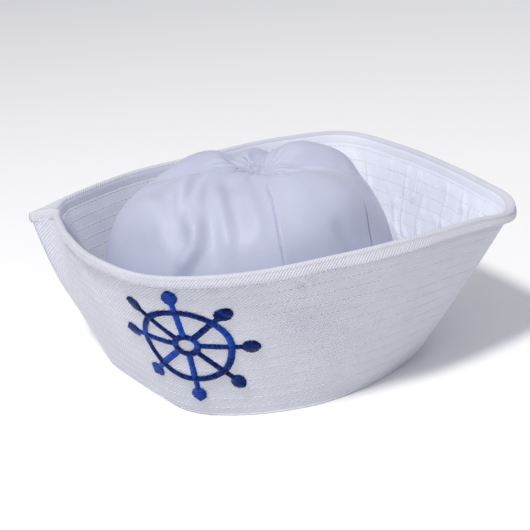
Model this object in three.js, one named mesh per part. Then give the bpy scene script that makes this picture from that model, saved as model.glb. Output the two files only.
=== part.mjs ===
import * as THREE from "three";

// White cloth sailor cap: gathered crown, turned-up brim, bound rim and an embroidered ship's wheel.
// Millimetres, +X from the left brim corner to the right one, -Y toward the side with the wheel, +Z up.

// Brim: a strip of doubled cloth that flares from the head opening to the rim
const footHalfLength = 100;
const footHalfWidth = 87;
const rimHalfLength = 150;
const rimHalfWidth = 130;
const brimHeight = 103;
const brimCloth = 2.4;
const cornerPinch = 8;

// Binding: a folded tape over the brim's top edge
const bindingCloth = 1.3;
const bindingDepth = 7;
const bindingSwell = 0.5;

// Crown: thin cloth drawn together at its middle
const crownHeight = 117;
const crownCloth = 1.4;
const crownFoldDepth = 10;
const gatherAlong = 7;
const gatherAcross = 8;
const gatherPleats = 16;
const gatherPleatDepth = 1;

// Ship's wheel: raised embroidery on the near side
const wheelThickness = 1.2;
const wheelUp = 0.531;
const wheelAlong = 0.447;
const ringRadius = 27;
const ringWidth = 3.8;
const spokeWidth = 3.2;
const hubRadius = 8.6;
const hubHole = 4.7;
const handleWidth = 9.2;
const handleLength = 10.6;
const neckWidth = 3;
const neckLength = 4;

// Gap between pieces that lie against each other
const clearance = 0.3;

// Brim sections from the left corner along the near side, round the right corner and back on the far side.
// Along and across are shares of the rim's and the foot's half length and half width. Rise and bow, which is
// how far the cloth swells outward halfway up, are shares of the brim's height.
const brimSections = [
  { rimAlong: -0.92, rimAcross: -0.02, rise: 0.95, footAlong: -0.975, footAcross: -0.07, bow: 0.04 },
  { rimAlong: -0.81, rimAcross: -0.075, rise: 0.98, footAlong: -0.93, footAcross: -0.21, bow: 0.055 },
  { rimAlong: -0.62, rimAcross: -0.43, rise: 0.99, footAlong: -0.74, footAcross: -0.44, bow: 0.03 },
  { rimAlong: -0.41, rimAcross: -0.75, rise: 1.0, footAlong: -0.47, footAcross: -0.735, bow: 0.02 },
  { rimAlong: -0.13, rimAcross: -0.98, rise: 1.0, footAlong: -0.19, footAcross: -0.97, bow: 0.01 },
  { rimAlong: 0.19, rimAcross: -0.98, rise: 1.0, footAlong: 0.14, footAcross: -1.0, bow: 0.01 },
  { rimAlong: 0.52, rimAcross: -0.77, rise: 0.99, footAlong: 0.5, footAcross: -0.86, bow: 0.01 },
  { rimAlong: 0.79, rimAcross: -0.51, rise: 0.97, footAlong: 0.77, footAcross: -0.58, bow: 0.01 },
  { rimAlong: 0.96, rimAcross: -0.28, rise: 0.94, footAlong: 0.92, footAcross: -0.32, bow: 0.01 },
  { rimAlong: 1.055, rimAcross: -0.125, rise: 0.9, footAlong: 0.98, footAcross: -0.16, bow: 0.015 },
  { rimAlong: 1.075, rimAcross: 0.0, rise: 0.885, footAlong: 1.0, footAcross: -0.01, bow: 0.015 },
  { rimAlong: 1.055, rimAcross: 0.12, rise: 0.9, footAlong: 0.99, footAcross: 0.13, bow: 0.015 },
  { rimAlong: 0.96, rimAcross: 0.26, rise: 0.93, footAlong: 0.95, footAcross: 0.3, bow: 0.01 },
  { rimAlong: 0.79, rimAcross: 0.49, rise: 0.965, footAlong: 0.81, footAcross: 0.57, bow: 0.01 },
  { rimAlong: 0.56, rimAcross: 0.78, rise: 0.99, footAlong: 0.54, footAcross: 0.83, bow: 0.01 },
  { rimAlong: 0.28, rimAcross: 1.03, rise: 1.005, footAlong: 0.2, footAcross: 0.98, bow: 0.01 },
  { rimAlong: -0.05, rimAcross: 0.95, rise: 1.005, footAlong: -0.16, footAcross: 0.97, bow: 0.01 },
  { rimAlong: -0.34, rimAcross: 0.7, rise: 1.005, footAlong: -0.5, footAcross: 0.83, bow: 0.02 },
  { rimAlong: -0.61, rimAcross: 0.45, rise: 1.0, footAlong: -0.8, footAcross: 0.55, bow: 0.03 },
  { rimAlong: -0.81, rimAcross: 0.085, rise: 0.99, footAlong: -0.96, footAcross: 0.2, bow: 0.03 },
];

// Crown rings from the hem to the gather: spread is a share of the hem's size, rise of the crown's height,
// and round says how far the outline has gone from the foot's to a plain oval.
const crownRings = [
  { spread: 1.0, rise: 0.0, round: 0.0 },
  { spread: 0.99, rise: 0.1, round: 0.3 },
  { spread: 0.97, rise: 0.26, round: 0.7 },
  { spread: 0.945, rise: 0.44, round: 1.0 },
  { spread: 0.91, rise: 0.6, round: 1.0 },
  { spread: 0.87, rise: 0.72, round: 1.0 },
  { spread: 0.81, rise: 0.82, round: 1.0 },
  { spread: 0.72, rise: 0.9, round: 1.0 },
  { spread: 0.6, rise: 0.96, round: 1.0 },
  { spread: 0.46, rise: 0.995, round: 1.0 },
  { spread: 0.32, rise: 1.01, round: 1.0 },
  { spread: 0.19, rise: 1.01, round: 1.0 },
  { spread: 0.08, rise: 1.0, round: 1.0 },
];

// Folds and puffs of the crown: turn is the direction in degrees from +X at the low end and at the high end,
// width its half width in degrees, depth a share of the fold depth (inward when negative), from and to the
// rings between which it runs, as shares of the way up.
const crownFolds = [
  { name: "far puff", turnLow: 42, turnHigh: 42, width: 40, depth: 0.85, from: 0.4, to: 0.93 },
  { name: "far left puff", turnLow: 136, turnHigh: 132, width: 36, depth: 0.7, from: 0.45, to: 0.92 },
  { name: "far small puff", turnLow: 92, turnHigh: 92, width: 16, depth: 0.35, from: 0.55, to: 0.9 },
  { name: "gather valley", turnLow: 26, turnHigh: 18, width: 13, depth: -0.6, from: 0.46, to: 0.94 },
  { name: "near right panel", turnLow: -22, turnHigh: -28, width: 34, depth: 0.45, from: 0.36, to: 0.88 },
  { name: "panel pleat", turnLow: -68, turnHigh: -42, width: 7, depth: -0.35, from: 0.25, to: 0.84 },
  { name: "right pleat", turnLow: -43, turnHigh: 32, width: 7, depth: -0.25, from: 0.28, to: 0.6 },
  { name: "right dent", turnLow: -44, turnHigh: -6, width: 9, depth: -0.15, from: 0.28, to: 0.52 },
  { name: "near left lobe", turnLow: -118, turnHigh: -135, width: 44, depth: 0.6, from: 0.42, to: 0.92 },
  { name: "lobe valley", turnLow: -72, turnHigh: -86, width: 9, depth: -0.55, from: 0.45, to: 0.88 },
  { name: "far lobe valley", turnLow: 172, turnHigh: 168, width: 15, depth: -0.45, from: 0.55, to: 0.95 },
  { name: "long left valley", turnLow: -26, turnHigh: -199, width: 10, depth: -0.4, from: 0.36, to: 0.74 },
  { name: "left tube", turnLow: 16, turnHigh: -209, width: 8, depth: 0.2, from: 0.5, to: 0.8 },
  { name: "near ridge", turnLow: -104, turnHigh: -100, width: 8, depth: 0.3, from: 0.28, to: 0.64 },
  { name: "near valley", turnLow: -75, turnHigh: -125, width: 8, depth: -0.3, from: 0.28, to: 0.82 },
  { name: "near crest", turnLow: -68, turnHigh: -108, width: 7, depth: 0.2, from: 0.28, to: 0.78 },
  { name: "far valley", turnLow: 76, turnHigh: 70, width: 10, depth: -0.3, from: 0.3, to: 0.85 },
  { name: "far left valley", turnLow: 108, turnHigh: 112, width: 10, depth: -0.3, from: 0.3, to: 0.85 },
];

const sectionSteps = 4;
const stationCount = brimSections.length * sectionSteps;
const crownStations = 104;

function brimCurve(sectionPoint) {
  const points = brimSections.map(sectionPoint);
  points.push(points[0].clone());
  return new THREE.CatmullRomCurve3(points, false, "centripetal");
}

const rimSize = new THREE.Vector3(rimHalfLength, rimHalfWidth, brimHeight);
const footSize = new THREE.Vector3(footHalfLength, footHalfWidth, 0);
const rimCurve = brimCurve((row) => {
  const share = new THREE.Vector3(row.rimAlong, row.rimAcross, row.rise);
  return share.multiply(rimSize);
});
const footCurve = brimCurve((row) => {
  const share = new THREE.Vector3(row.footAlong, row.footAcross, 0);
  return share.multiply(footSize);
});
const bowCurve = brimCurve((row) => {
  const outward = new THREE.Vector3(row.footAlong, row.footAcross, 0);
  return outward.setLength(row.bow * brimHeight);
});

// A point of the brim's outer face: turn goes from 0 to 1 round the cap, up from 0 at the foot to 1
function brimFace(turn, up) {
  const place = turn - Math.floor(turn);
  const point = footCurve.getPoint(place).lerp(rimCurve.getPoint(place), up);
  return point.addScaledVector(bowCurve.getPoint(place), 4 * up * (1 - up));
}

// Outward direction in plan at one station, lengthened where the strip turns a corner
function outwardAt(station, up) {
  const before = brimFace((station - 1) / stationCount, up);
  const here = brimFace(station / stationCount, up);
  const after = brimFace((station + 1) / stationCount, up);
  const first = new THREE.Vector3(here.y - before.y, before.x - here.x, 0).normalize();
  const second = new THREE.Vector3(after.y - here.y, here.x - after.x, 0).normalize();
  const outward = first.clone().add(second).normalize();
  return outward.divideScalar(Math.max(outward.dot(first), 0.5));
}

// A point beside the brim's outer face: across is positive outward
function besideBrim(station, up, across) {
  const point = brimFace(station / stationCount, up).addScaledVector(outwardAt(station, up), across);
  return across <= -brimCloth ? pinched(point, station, up, across) : point;
}

// The left corner is pinched: toward the rim its inside runs straight from the next section on either side to a
// point that lies further in than the cloth is thick
function pinched(point, station, up, across) {
  const near = station < stationCount / 2;
  const away = near ? station : stationCount - station;
  if (away >= sectionSteps) {
    return point;
  }
  const end = near ? sectionSteps : stationCount - sectionSteps;
  const inner = brimFace(0, up).addScaledVector(outwardAt(0, up), across);
  inner.x += cornerPinch * up;
  const straight = inner.lerp(besideBrim(end, up, across), away / sectionSteps).setZ(point.z);
  return point.lerp(straight, up);
}

function slantAt(station) {
  return brimFace(station / stationCount, 0).distanceTo(brimFace(station / stationCount, 1));
}

// A closed solid from quads and triangles over shared points, turned so that its faces point out
function solid(points, faces) {
  let volume = 0;
  for (const [a, b, c] of faces) {
    volume += points[a].dot(points[b].clone().cross(points[c]));
  }
  const geometry = new THREE.BufferGeometry();
  const positions = points.flatMap((point) => point.toArray());
  geometry.setAttribute("position", new THREE.Float32BufferAttribute(positions, 3));
  geometry.setIndex(faces.flatMap(([a, b, c]) => (volume > 0 ? [a, b, c] : [a, c, b])));
  geometry.computeVertexNormals();
  return geometry;
}

// A section carried once round the cap and closed on itself
function loopSolid(sectionCount, pointAt) {
  const points = [];
  const faces = [];
  for (let station = 0; station < stationCount; station += 1) {
    for (let corner = 0; corner < sectionCount; corner += 1) {
      points.push(pointAt(station, corner));
    }
  }
  for (let station = 0; station < stationCount; station += 1) {
    const next = (station + 1) % stationCount;
    for (let corner = 0; corner < sectionCount; corner += 1) {
      const beside = (corner + 1) % sectionCount;
      const a = station * sectionCount + corner;
      const b = next * sectionCount + corner;
      const c = next * sectionCount + beside;
      const d = station * sectionCount + beside;
      if (points[a].distanceTo(points[c]) < points[b].distanceTo(points[d])) {
        faces.push([a, b, c], [a, c, d]);
      } else {
        faces.push([a, b, d], [b, c, d]);
      }
    }
  }
  return solid(points, faces);
}

// Brim wall
const wallTop = bindingCloth + clearance;
const wallLevels = [0, 0.33, 0.66, 1];

function brimGeometry() {
  const section = [
    ...wallLevels.map((level) => ({ level, down: bindingDepth, across: 0 })),
    { level: 1, down: wallTop, across: 0 },
    { level: 1, down: wallTop, across: -brimCloth },
    ...wallLevels.toReversed().map((level) => ({ level, down: bindingDepth, across: -brimCloth })),
  ];
  return loopSolid(section.length, (station, corner) => {
    const { level, down, across } = section[corner];
    return besideBrim(station, level * (1 - down / slantAt(station)), across);
  });
}

// Binding: down is measured from the rim along the brim's slant
function bindingGeometry() {
  const outside = clearance + bindingCloth;
  const inside = -brimCloth - outside;
  const middle = -brimCloth / 2;
  const section = [
    { across: outside, down: bindingDepth },
    { across: outside + bindingSwell, down: bindingDepth * 0.6 },
    { across: outside + bindingSwell * 0.7, down: bindingDepth * 0.3 },
    { across: (outside + middle) / 2, down: bindingCloth * 0.3 },
    { across: middle, down: 0 },
    { across: (inside + middle) / 2, down: bindingCloth * 0.3 },
    { across: inside - bindingSwell * 0.7, down: bindingDepth * 0.3 },
    { across: inside - bindingSwell, down: bindingDepth * 0.6 },
    { across: inside, down: bindingDepth },
    { across: -brimCloth - clearance, down: bindingDepth },
    { across: -brimCloth - clearance, down: bindingCloth },
    { across: clearance, down: bindingCloth },
    { across: clearance, down: bindingDepth },
  ];
  return loopSolid(section.length, (station, corner) => {
    const { across, down } = section[corner];
    return besideBrim(station, 1 - down / slantAt(station), across);
  });
}

// Crown
function smooth(share) {
  const held = Math.min(Math.max(share, 0), 1);
  return held * held * (3 - 2 * held);
}

// How far a fold lifts the cloth at one direction and one share of the way up
function foldLift(fold, degrees, way) {
  const turn = fold.turnLow + (fold.turnHigh - fold.turnLow) * way;
  const aside = Math.abs(((degrees - turn + 540) % 360) - 180) / fold.width;
  if (aside >= 1 || way <= fold.from || way >= fold.to) {
    return 0;
  }
  const run = (fold.to - fold.from) * 0.35;
  const ends = Math.min(smooth((way - fold.from) / run), smooth((fold.to - way) / run));
  return fold.depth * crownFoldDepth * ends * Math.cos((aside * Math.PI) / 2) ** 2;
}

// Small pleats close round the gather
function gatherLift(degrees, way) {
  const wave = Math.cos(THREE.MathUtils.degToRad(degrees) * gatherPleats);
  return gatherPleatDepth * smooth((way - 0.74) / 0.12) * wave;
}

function crownBase(station, ring) {
  const row = crownRings[ring];
  const hem = besideBrim((station * stationCount) / crownStations, 0, -brimCloth - clearance);
  const turn = Math.atan2(hem.y, hem.x);
  const oval = new THREE.Vector3(
    (footHalfLength - brimCloth - clearance) * Math.cos(turn),
    (footHalfWidth - brimCloth - clearance) * Math.sin(turn),
    0,
  );
  const point = hem.lerp(oval, row.round).multiplyScalar(row.spread);
  point.x += gatherAlong * smooth(1 - row.spread);
  point.y += gatherAcross * smooth(1 - row.spread);
  point.z = row.rise * crownHeight;
  return point;
}

function surfaceNormal(grid, ring, station) {
  const row = grid[ring];
  const above = grid[Math.min(ring + 1, grid.length - 1)][station];
  const below = grid[Math.max(ring - 1, 0)][station];
  const along = row[(station + 1) % row.length].clone().sub(row[(station + row.length - 1) % row.length]);
  return along.cross(above.clone().sub(below)).normalize();
}

function crownGeometry() {
  const ringCount = crownRings.length;
  const stations = Array.from({ length: crownStations }, (_, station) => station);
  const base = crownRings.map((_, ring) => stations.map((station) => crownBase(station, ring)));
  const outer = base.map((row, ring) =>
    row.map((point, station) => {
      const degrees = THREE.MathUtils.radToDeg(Math.atan2(point.y, point.x));
      const way = ring / ringCount;
      let lift = gatherLift(degrees, way);
      for (const fold of crownFolds) {
        lift += foldLift(fold, degrees, way);
      }
      return point.clone().addScaledVector(surfaceNormal(base, ring, station), lift);
    }),
  );
  const inner = outer.map((row, ring) =>
    row.map((point, station) => {
      const normal = surfaceNormal(outer, ring, station);
      if (ring === 0) {
        normal.setZ(0).normalize();
      }
      return point.clone().addScaledVector(normal, -crownCloth);
    }),
  );
  const points = [...outer.flat(), ...inner.flat()];
  const gather = new THREE.Vector3(gatherAlong, gatherAcross, crownHeight);
  const gatherTop = points.push(gather) - 1;
  const gatherUnder = points.push(gather.clone().setZ(crownHeight - crownCloth)) - 1;
  const under = ringCount * crownStations;
  const top = (ringCount - 1) * crownStations;
  const faces = [];
  for (const station of stations) {
    const next = (station + 1) % crownStations;
    for (let ring = 0; ring + 1 < ringCount; ring += 1) {
      const a = ring * crownStations + station;
      const b = ring * crownStations + next;
      const c = b + crownStations;
      const d = a + crownStations;
      faces.push([a, b, c], [a, c, d], [under + a, under + c, under + b], [under + a, under + d, under + c]);
    }
    faces.push([station, under + station, under + next], [station, under + next, next]);
    faces.push([top + station, top + next, gatherTop]);
    faces.push([under + top + station, gatherUnder, under + top + next]);
  }
  return solid(points, faces);
}

// Distances along the brim at the wheel's height, so that the wheel keeps its size on the curved cloth
const wallSteps = 800;
const wallDistances = [0];
for (let step = 1; step <= wallSteps; step += 1) {
  const here = brimFace(step / wallSteps, wheelUp);
  const before = brimFace((step - 1) / wallSteps, wheelUp);
  wallDistances.push(wallDistances[step - 1] + here.distanceTo(before));
}
const furthest = Math.max(...brimSections.map((row) => row.rimAlong));
const rightCorner = brimSections.findIndex((row) => row.rimAlong === furthest);
const nearLength = wallDistances[rightCorner * (wallSteps / brimSections.length)];

function turnAtDistance(distance) {
  const step = wallDistances.findIndex((reached) => reached > distance);
  const share = (distance - wallDistances[step - 1]) / (wallDistances[step] - wallDistances[step - 1]);
  return (step - 1 + share) / wallSteps;
}

// A point raised above the cloth: along and up are measured on the brim from the wheel's middle
function onBrim(along, up, raise) {
  const turn = turnAtDistance(wheelAlong * nearLength + along);
  const height = wheelUp + up / brimFace(turn, 0).distanceTo(brimFace(turn, 1));
  const nearby = 0.002;
  const tangent = brimFace(turn + nearby, height).sub(brimFace(turn - nearby, height));
  const upward = brimFace(turn, 1).sub(brimFace(turn, 0));
  const outward = tangent.cross(upward).normalize();
  return brimFace(turn, height).addScaledVector(outward, clearance + raise);
}

// Ship's wheel, drawn flat round its middle. Every band of stitches is three points wide: low, high, low.
// Each spoke has its direction, and shares of the ring's radius and of the neck's length where it lies.
const wheelSpokes = [
  { name: "right", degrees: -4, ring: 0.955, neck: 0.9 },
  { name: "upper right", degrees: 45, ring: 0.91, neck: 0.4 },
  { name: "top", degrees: 93.5, ring: 0.94, neck: 0.9 },
  { name: "upper left", degrees: 136.5, ring: 0.99, neck: 1.1 },
  { name: "left", degrees: 174.5, ring: 1.02, neck: 0.9 },
  { name: "lower left", degrees: 220.5, ring: 1.0, neck: 1.15 },
  { name: "bottom", degrees: 270, ring: 0.985, neck: 1.4 },
  { name: "lower right", degrees: 313, ring: 1.03, neck: 1.3 },
];
const spokeSteps = 3;
const ringSteps = 4;
const stitchEdge = 0.55;

// Handle rows beyond the neck: reach is a share of its length, half a share of its half width
const handleRows = [
  { reach: 0.18, half: 0.78 },
  { reach: 0.45, half: 1.0 },
  { reach: 0.75, half: 0.86 },
  { reach: 0.94, half: 0.42 },
];

// The ring is not quite round: its middle line runs smoothly from one spoke's share to the next
function ringShareAt(turn) {
  const degrees = THREE.MathUtils.radToDeg(turn);
  const first = wheelSpokes[0].degrees;
  const place = first + ((((degrees - first) % 360) + 360) % 360);
  const index = wheelSpokes.findLastIndex((spoke) => spoke.degrees <= place);
  const before = wheelSpokes[index];
  const after = wheelSpokes[(index + 1) % wheelSpokes.length];
  const sweep = (after.degrees - before.degrees + 360) % 360;
  return before.ring + (after.ring - before.ring) * smooth((place - before.degrees) / sweep);
}

function ringRadii(turn) {
  const middle = ringRadius * ringShareAt(turn);
  return [middle - ringWidth / 2, middle, middle + ringWidth / 2];
}

function hubRadii() {
  return [hubHole, (hubHole + hubRadius) / 2, hubRadius];
}

function wheelDrawing() {
  const points = [];
  const faces = [];

  function addPoint(radius, turn, aside, high) {
    const x = radius * Math.cos(turn) - aside * Math.sin(turn);
    const y = radius * Math.sin(turn) + aside * Math.cos(turn);
    return points.push({ x, y, raise: high ? wheelThickness : wheelThickness * stitchEdge }) - 1;
  }

  function addStrip(first, second) {
    for (let index = 0; index + 1 < first.length; index += 1) {
      faces.push([first[index], second[index], second[index + 1]]);
      faces.push([first[index], second[index + 1], first[index + 1]]);
    }
    return second;
  }

  function rowAcross(radius, turn, half) {
    return [-half, 0, half].map((aside) => addPoint(radius, turn, aside, aside === 0));
  }

  // The stretch of a ring that a spoke meets
  function ringStretch(radiiAt, turn, shift) {
    const rows = [0, 1, 2].map((row) =>
      [-shift, 0, shift].map((aside) =>
        addPoint(radiiAt(turn + aside)[row], turn + aside, 0, row === 1 || aside === 0),
      ),
    );
    addStrip(rows[0], rows[1]);
    addStrip(rows[1], rows[2]);
    return rows;
  }

  // The stretch of a ring from one spoke to the next
  function ringBridge(radiiAt, rows, nextRows, from, to, steps) {
    let last = rows.map((row) => row[2]);
    for (let step = 1; step < steps; step += 1) {
      const turn = from + ((to - from) * step) / steps;
      last = addStrip(last, radiiAt(turn).map((radius, row) => addPoint(radius, turn, 0, row === 1)));
    }
    addStrip(last, nextRows.map((row) => row[0]));
  }

  const half = spokeWidth / 2;
  const hubShift = Math.asin(half / hubRadius);
  const ringShift = Math.asin(half / (ringRadius - ringWidth / 2));
  const sectors = wheelSpokes.map((spoke) => {
    const turn = THREE.MathUtils.degToRad(spoke.degrees);
    const hubRows = ringStretch(hubRadii, turn, hubShift);
    const [ringInside, , ringOutside] = ringRadii(turn);
    const handleStart = ringOutside + spoke.neck * neckLength;
    let last = hubRows[2];
    for (let step = 1; step < spokeSteps; step += 1) {
      const radius = hubRadius + ((ringInside - hubRadius) * step) / spokeSteps;
      last = addStrip(last, rowAcross(radius, turn, half));
    }
    const ringRows = ringStretch(ringRadii, turn, ringShift);
    addStrip(last, ringRows[0]);
    last = addStrip(ringRows[2], rowAcross(handleStart, turn, neckWidth / 2));
    for (const row of handleRows) {
      const radius = handleStart + row.reach * handleLength;
      last = addStrip(last, rowAcross(radius, turn, (row.half * handleWidth) / 2));
    }
    const tip = addPoint(handleStart + handleLength, turn, 0, false);
    faces.push([last[0], tip, last[1]], [last[1], tip, last[2]]);
    return { turn, hubRows, ringRows };
  });
  sectors.forEach((sector, index) => {
    const next = sectors[(index + 1) % sectors.length];
    const nextTurn = next.turn + (index + 1 === sectors.length ? 2 * Math.PI : 0);
    ringBridge(hubRadii, sector.hubRows, next.hubRows, sector.turn + hubShift, nextTurn - hubShift, 1);
    ringBridge(ringRadii, sector.ringRows, next.ringRows, sector.turn + ringShift, nextTurn - ringShift, ringSteps);
  });
  return { points, faces };
}

// The drawing laid on the brim, with a back close to the cloth and a side wall along every free edge
function wheelGeometry() {
  const { points, faces } = wheelDrawing();
  const top = points.map(({ x, y, raise }) => onBrim(x, y, raise));
  const back = points.map(({ x, y }) => onBrim(x, y, 0));
  const under = points.length;
  const shell = [];
  const edges = new Map();
  for (const [a, b, c] of faces) {
    const side = new THREE.Vector2(points[b].x - points[a].x, points[b].y - points[a].y);
    const turned = side.cross(new THREE.Vector2(points[c].x - points[a].x, points[c].y - points[a].y)) > 0;
    const face = turned ? [a, b, c] : [a, c, b];
    shell.push(face, [under + face[0], under + face[2], under + face[1]]);
    face.forEach((from, index) => {
      const to = face[(index + 1) % 3];
      edges.set(`${from} ${to}`, [from, to]);
    });
  }
  for (const [from, to] of edges.values()) {
    if (!edges.has(`${to} ${from}`)) {
      shell.push([from, under + from, under + to], [from, under + to, to]);
    }
  }
  return solid([...top, ...back], shell);
}

const whiteTwill = new THREE.MeshStandardMaterial({ color: 0xe9eaf1, roughness: 0.85, metalness: 0 });
const whiteBinding = new THREE.MeshStandardMaterial({ color: 0xe4e5ee, roughness: 0.85, metalness: 0 });
const whiteSateen = new THREE.MeshStandardMaterial({ color: 0xdfe2f0, roughness: 0.55, metalness: 0 });
const blueThread = new THREE.MeshStandardMaterial({ color: 0x1b2f94, roughness: 0.4, metalness: 0 });

const cap = new THREE.Group();

function addPiece(name, geometry, material) {
  const piece = new THREE.Mesh(geometry, material);
  piece.name = name;
  cap.add(piece);
}

addPiece("brim", brimGeometry(), whiteTwill);
addPiece("rim_binding", bindingGeometry(), whiteBinding);
addPiece("crown", crownGeometry(), whiteSateen);
addPiece("ship_wheel", wheelGeometry(), blueThread);

// The origin is the bottom middle of the cap's box
const box = new THREE.Box3().setFromObject(cap);
const middle = box.getCenter(new THREE.Vector3());
cap.position.set(-middle.x, -middle.y, -box.min.z);

export default cap;
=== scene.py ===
import math

import bpy
import numpy as np
from mathutils import Matrix, Vector


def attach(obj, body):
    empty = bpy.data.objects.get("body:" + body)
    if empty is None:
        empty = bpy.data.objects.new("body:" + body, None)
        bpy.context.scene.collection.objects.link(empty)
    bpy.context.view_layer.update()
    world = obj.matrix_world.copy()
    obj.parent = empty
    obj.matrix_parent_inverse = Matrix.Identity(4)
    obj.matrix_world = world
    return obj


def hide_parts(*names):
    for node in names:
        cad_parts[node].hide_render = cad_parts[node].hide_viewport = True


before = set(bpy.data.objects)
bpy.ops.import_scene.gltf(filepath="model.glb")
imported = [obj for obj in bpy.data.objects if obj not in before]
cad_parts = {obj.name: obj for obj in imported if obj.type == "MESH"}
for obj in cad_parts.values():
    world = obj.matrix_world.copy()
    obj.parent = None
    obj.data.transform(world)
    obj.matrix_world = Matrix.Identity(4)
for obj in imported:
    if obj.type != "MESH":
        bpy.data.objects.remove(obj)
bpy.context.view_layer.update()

# White cloth sailor cap: gathered crown, turned-up stitched brim, bound rim and an embroidered ship's wheel.
# Metres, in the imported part's own place: +X from the pinched corner to the soft one, -Y toward the wheel.

# The size and place of the cap, as in the part's source
capForm = {
    "footHalfLength": 0.100,
    "footHalfWidth": 0.087,
    "rimHalfLength": 0.150,
    "rimHalfWidth": 0.130,
    "brimHeight": 0.103,
    "crownHeight": 0.117,
    "boxMiddle": (-0.0103887, -0.001982, 0.0),  # from the foot's middle to the origin
}

# Brim sections from the pinched corner along the wheel's side:
# rim along, rim across, rim rise, foot along, foot across, bow
brimSections = np.array([
    (-0.92, -0.02, 0.95, -0.975, -0.07, 0.04),
    (-0.81, -0.075, 0.98, -0.93, -0.21, 0.055),
    (-0.62, -0.43, 0.99, -0.74, -0.44, 0.03),
    (-0.41, -0.75, 1.0, -0.47, -0.735, 0.02),
    (-0.13, -0.98, 1.0, -0.19, -0.97, 0.01),
    (0.19, -0.98, 1.0, 0.14, -1.0, 0.01),
    (0.52, -0.77, 0.99, 0.5, -0.86, 0.01),
    (0.79, -0.51, 0.97, 0.77, -0.58, 0.01),
    (0.96, -0.28, 0.94, 0.92, -0.32, 0.01),
    (1.055, -0.125, 0.9, 0.98, -0.16, 0.015),
    (1.075, 0.0, 0.885, 1.0, -0.01, 0.015),
    (1.055, 0.12, 0.9, 0.99, 0.13, 0.015),
    (0.96, 0.26, 0.93, 0.95, 0.3, 0.01),
    (0.79, 0.49, 0.965, 0.81, 0.57, 0.01),
    (0.56, 0.78, 0.99, 0.54, 0.83, 0.01),
    (0.28, 1.03, 1.005, 0.2, 0.98, 0.01),
    (-0.05, 0.95, 1.005, -0.16, 0.97, 0.01),
    (-0.34, 0.7, 1.005, -0.5, 0.83, 0.02),
    (-0.61, 0.45, 1.0, -0.8, 0.55, 0.03),
    (-0.81, 0.085, 0.99, -0.96, 0.2, 0.03),
])


# Small tools

def smooth(share):
    held = np.clip(share, 0.0, 1.0)
    return held * held * (3 - 2 * held)


def span(value, start, rise, end, fall):  # grows from 0 to 1 after the start, and falls back to 0 at the end
    return smooth((value - start) / rise) * smooth((end - value) / fall)


def bell(offset):  # 1 in the middle, falling off to both sides
    return np.exp(-(offset**2))


def normalised(vectors):
    return vectors / np.maximum(np.linalg.norm(vectors, axis=-1, keepdims=True), 1e-12)


def runOf(line):  # distance along a line of points
    return np.concatenate([[0], np.cumsum(np.linalg.norm(np.diff(line, axis=0), axis=1))])


def linearColour(hexCode):  # sRGB hex to linear values
    channels = [int(hexCode[k:k + 2], 16) / 255 for k in (1, 3, 5)]
    return tuple(c / 12.92 if c <= 0.04045 else ((c + 0.055) / 1.055) ** 2.4 for c in channels) + (1.0,)


def addNode(tree, kind, inputs=None, **settings):  # inputs: a value, a node (its first output) or a socket
    node = tree.nodes.new(kind)
    for name, value in settings.items():
        setattr(node, name, value)
    for key, value in (inputs or {}).items():
        if isinstance(value, bpy.types.Node):
            value = value.outputs[0]
        if isinstance(value, bpy.types.NodeSocket):
            tree.links.new(value, node.inputs[key])
        else:
            node.inputs[key].default_value = value
    return node


def emptyTree(holder):  # the node tree of a material or a sky, without its first nodes
    holder.use_nodes = True
    holder.node_tree.nodes.clear()
    return holder.node_tree


def putInScene(name, data):
    thing = bpy.data.objects.new(name, data)
    bpy.context.scene.collection.objects.link(thing)
    return thing


def clothNoise(along, across, cellAlong, cellAcross, seed, length=1.0):  # soft bumps from -1 to 1
    count = max(3, round(length / cellAlong))
    table = np.random.default_rng(seed).uniform(-1, 1, (count, 97))
    x, y = along / length * count, across / cellAcross
    i, j = np.floor(x).astype(int), np.floor(y).astype(int)
    p, q = smooth(x - i), smooth(y - j)
    low = table[i % count, j % 97] * (1 - p) + table[(i + 1) % count, j % 97] * p
    high = table[i % count, (j + 1) % 97] * (1 - p) + table[(i + 1) % count, (j + 1) % 97] * p
    return low * (1 - q) + high * q


def curveThrough(rows, turn):  # the centripetal curve that the part's source draws through its rows
    count = len(rows) - 1
    place = turn * count
    first = np.minimum(place.astype(int), count - 1)
    share = (place - first)[:, None]
    ends = np.vstack([2 * rows[0] - rows[1], rows, 2 * rows[-1] - rows[-2]])
    a, b, c, d = (ends[first + k] for k in range(4))
    ab, bc, cd = (np.sqrt(np.linalg.norm(q - p, axis=1))[:, None] for p, q in ((a, b), (b, c), (c, d)))
    leave = ((b - a) / ab - (c - a) / (ab + bc) + (c - b) / bc) * bc
    arrive = ((c - b) / bc - (d - b) / (bc + cd) + (d - c) / cd) * bc
    return b + leave * share + (3 * (c - b) - 2 * leave - arrive) * share**2 + (2 * (b - c) + leave + arrive) * share**3


def gridNormals(grid):  # rows going up, stations going round the cap counter-clockwise
    return normalised(np.cross(np.roll(grid, -1, 1) - np.roll(grid, 1, 1), np.gradient(grid, axis=0)))


def loopFaces(rowCount, stationCount, first=0, closed=False):  # quads between the rows of a grid that goes round
    rows = np.arange(rowCount if closed else rowCount - 1)[:, None]
    here = np.arange(stationCount)[None, :]
    beside = (here + 1) % stationCount
    above = (rows + 1) % rowCount
    quads = [rows * stationCount + here, rows * stationCount + beside, above * stationCount + beside,
             above * stationCount + here]
    return first + np.stack(np.broadcast_arrays(*quads), -1).reshape(-1, 4)


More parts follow.
